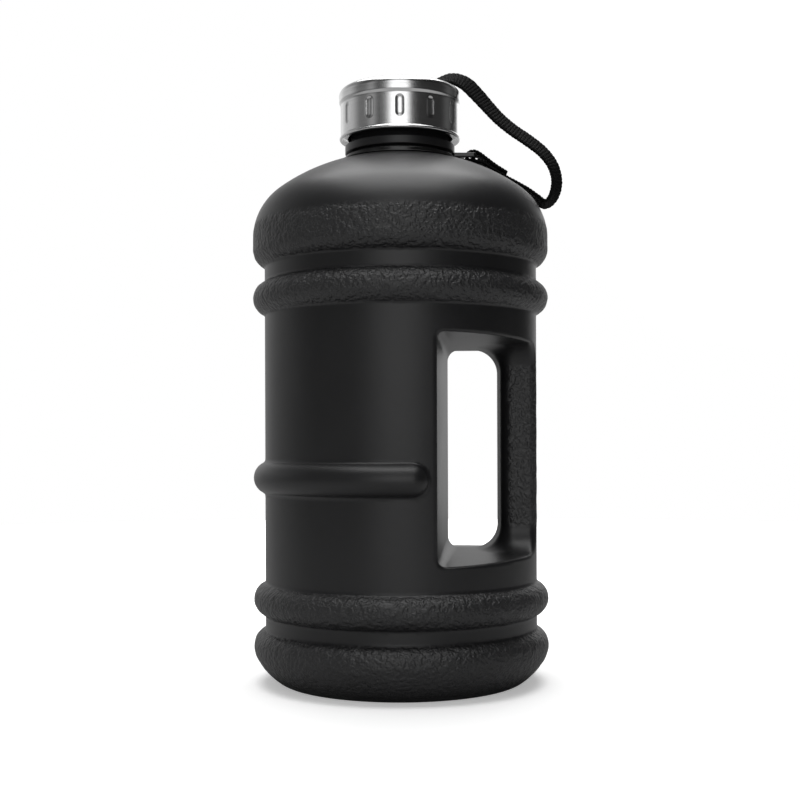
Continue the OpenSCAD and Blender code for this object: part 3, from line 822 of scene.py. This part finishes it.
def strap_mesh():
    """The webbing as one closed tube with its cross ribs and the bumps of its selvedge."""
    line, where = strap_points(0.25)
    tangent = np.gradient(line[:, :2], axis=0)
    tangent /= np.linalg.norm(tangent, axis=1, keepdims=True)
    twist = np.radians(line[:, 2])
    up = np.stack([-tangent[:, 1], np.zeros(len(line)), tangent[:, 0]], -1)
    across = np.array([0, 1, 0])
    w = np.cos(twist)[:, None] * across + np.sin(twist)[:, None] * up
    n = np.cos(twist)[:, None] * up - np.sin(twist)[:, None] * across
    rib = np.sqrt(np.abs(np.cos(np.pi * where / RIB_PITCH)))
    bump = 0.5 + 0.5 * np.cos(2 * np.pi * where / SELVEDGE_PITCH)
    across_steps = np.linspace(-1, 1, 15)
    section = [(s, 1) for s in across_steps] + [(s, -1) for s in across_steps[::-1]]
    rings = []
    for s, side in section:
        edge = np.clip((1 - abs(s)) / EDGE_ROUND, 0, 1)
        roundness = math.sqrt(1 - (1 - edge) ** 2) if edge < 1 else 1.0
        half = STRAP_T / 2 * (EDGE_T + (1 - EDGE_T) * roundness)
        thick = half * (1 - RIB_SHARE + RIB_SHARE * rib * (1 if abs(s) < 0.95 else 0.4))
        width = STRAP_W / 2 * s * (1 - SELVEDGE_SHARE + SELVEDGE_SHARE * bump)
        rings.append(width[:, None] * w + side * thick[:, None] * n)
    m = len(section)
    centre = np.stack([line[:, 0], np.zeros(len(line)), line[:, 1]], -1)
    vertices = (centre[None] + np.array(rings)).transpose(1, 0, 2).reshape(-1, 3)
    faces = []
    for i in range(len(line) - 1):
        for j in range(m):
            k = (j + 1) % m
            faces.append((i * m + j, (i + 1) * m + j, (i + 1) * m + k, i * m + k))
    faces.append(tuple(range(m)))
    faces.append(tuple(reversed(range((len(line) - 1) * m, len(line) * m))))
    piece = new_piece("carry_strap_visual", vertices * MM, faces, webbing())
    uv = piece.data.uv_layers.new(name="weave")
    width_of = np.array([s * STRAP_W / 2 for s, _ in section])
    index = np.empty(len(piece.data.loops), int)
    piece.data.loops.foreach_get("vertex_index", index)
    uv.data.foreach_set("uv", np.stack([where[index // m], width_of[index % m]], -1).ravel())
    return piece, centre


strap, strap_line = strap_mesh()
hole_outline = [(0, CAP_TOP - 1), (RIVET_HOLE_R, CAP_TOP - 1), (RIVET_HOLE_R, CAP_TOP + 3), (0, CAP_TOP + 3)]
boolean(strap, revolved_piece("hole", hole_outline, 48), "DIFFERENCE")
shade_by_angle(strap, 60)
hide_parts("carry_strap")

# ---- stitching ----
STITCH_AT, STITCH_TILT, STITCH_WIDE, STITCH_HIGH = (43.8, 0.0, 227.8), 32.5, 7.0, 3.7
STITCH_ROWS, STITCH_COLUMNS, STITCH_REACH, STITCH_SLANT = 8, (-1.7, 0.0, 1.7), 0.78, 0.22
THREAD_R, THREAD_SIDES = 0.19, 7


def stitch_path(x, y, slant):
    """A loop of thread round both layers of webbing, with its middle at x, y and its top and bottom flat."""
    high = STITCH_HIGH / 2 - 0.2
    path = []
    for t in np.linspace(0, 2 * math.pi, 25)[:-1]:
        up = math.copysign(abs(math.sin(t)) ** 0.35, math.sin(t))
        path.append(Vector((x + STITCH_REACH * math.cos(t), y + slant * math.cos(t), high * up)))
    return path


def add_stitch(bm, path, turn):
    """A closed tube of thread along a path, turned and moved to where the stitching is."""
    rings = []
    for a in range(len(path)):
        tangent = (path[(a + 1) % len(path)] - path[a - 1]).normalized()
        normal = tangent.cross(Vector((0, 1, 0))).normalized()
        side = normal.cross(tangent)
        ring = []
        for b in range(THREAD_SIDES):
            phi = 2 * math.pi * b / THREAD_SIDES
            point = path[a] + THREAD_R * (math.cos(phi) * side + math.sin(phi) * normal)
            ring.append(bm.verts.new((turn @ point + Vector(STITCH_AT)) * MM))
        rings.append(ring)
    for a in range(len(rings)):
        one, two = rings[a], rings[(a + 1) % len(rings)]
        for b in range(THREAD_SIDES):
            c = (b + 1) % THREAD_SIDES
            bm.faces.new((one[b], one[c], two[c], two[b]))


def stitching_mesh():
    """Bar tacks: rows of short thread loops that pass through both layers of webbing."""
    bm = bmesh.new()
    turn = Matrix.Rotation(math.radians(STITCH_TILT), 4, "Y")
    for i in range(STITCH_ROWS):
        y = -STITCH_WIDE / 2 + 0.35 + i * (STITCH_WIDE - 0.7) / (STITCH_ROWS - 1)
        for k, x in enumerate(STITCH_COLUMNS):
            slant = STITCH_SLANT if (i + k) % 2 else -STITCH_SLANT
            add_stitch(bm, stitch_path(x, y, slant), turn)
    bmesh.ops.recalc_face_normals(bm, faces=bm.faces)
    mesh = bpy.data.meshes.new("strap_stitching_visual")
    bm.to_mesh(mesh)
    bm.free()
    mesh.materials.append(thread())
    mesh.polygons.foreach_set("use_smooth", [True] * len(mesh.polygons))
    piece = bpy.data.objects.new("strap_stitching_visual", mesh)
    scene.collection.objects.link(piece)
    return piece


stitching = stitching_mesh()
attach(stitching, "tether")
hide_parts("strap_stitching")

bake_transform(strap)

# ---- CAD pieces that keep their shape and get their material ----
rivet_steel = brushed_steel("rivet_steel", 3.0, 0.24, 0.4)
for name, material in {"cap_insert": insert_plastic(), "cap_gasket": silicone(), "strap_rivet": rivet_steel,
                       "rivet_washer": rivet_steel, "rivet_burr": rivet_steel}.items():
    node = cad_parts[name]
    node.data.materials.clear()
    node.data.materials.append(material)
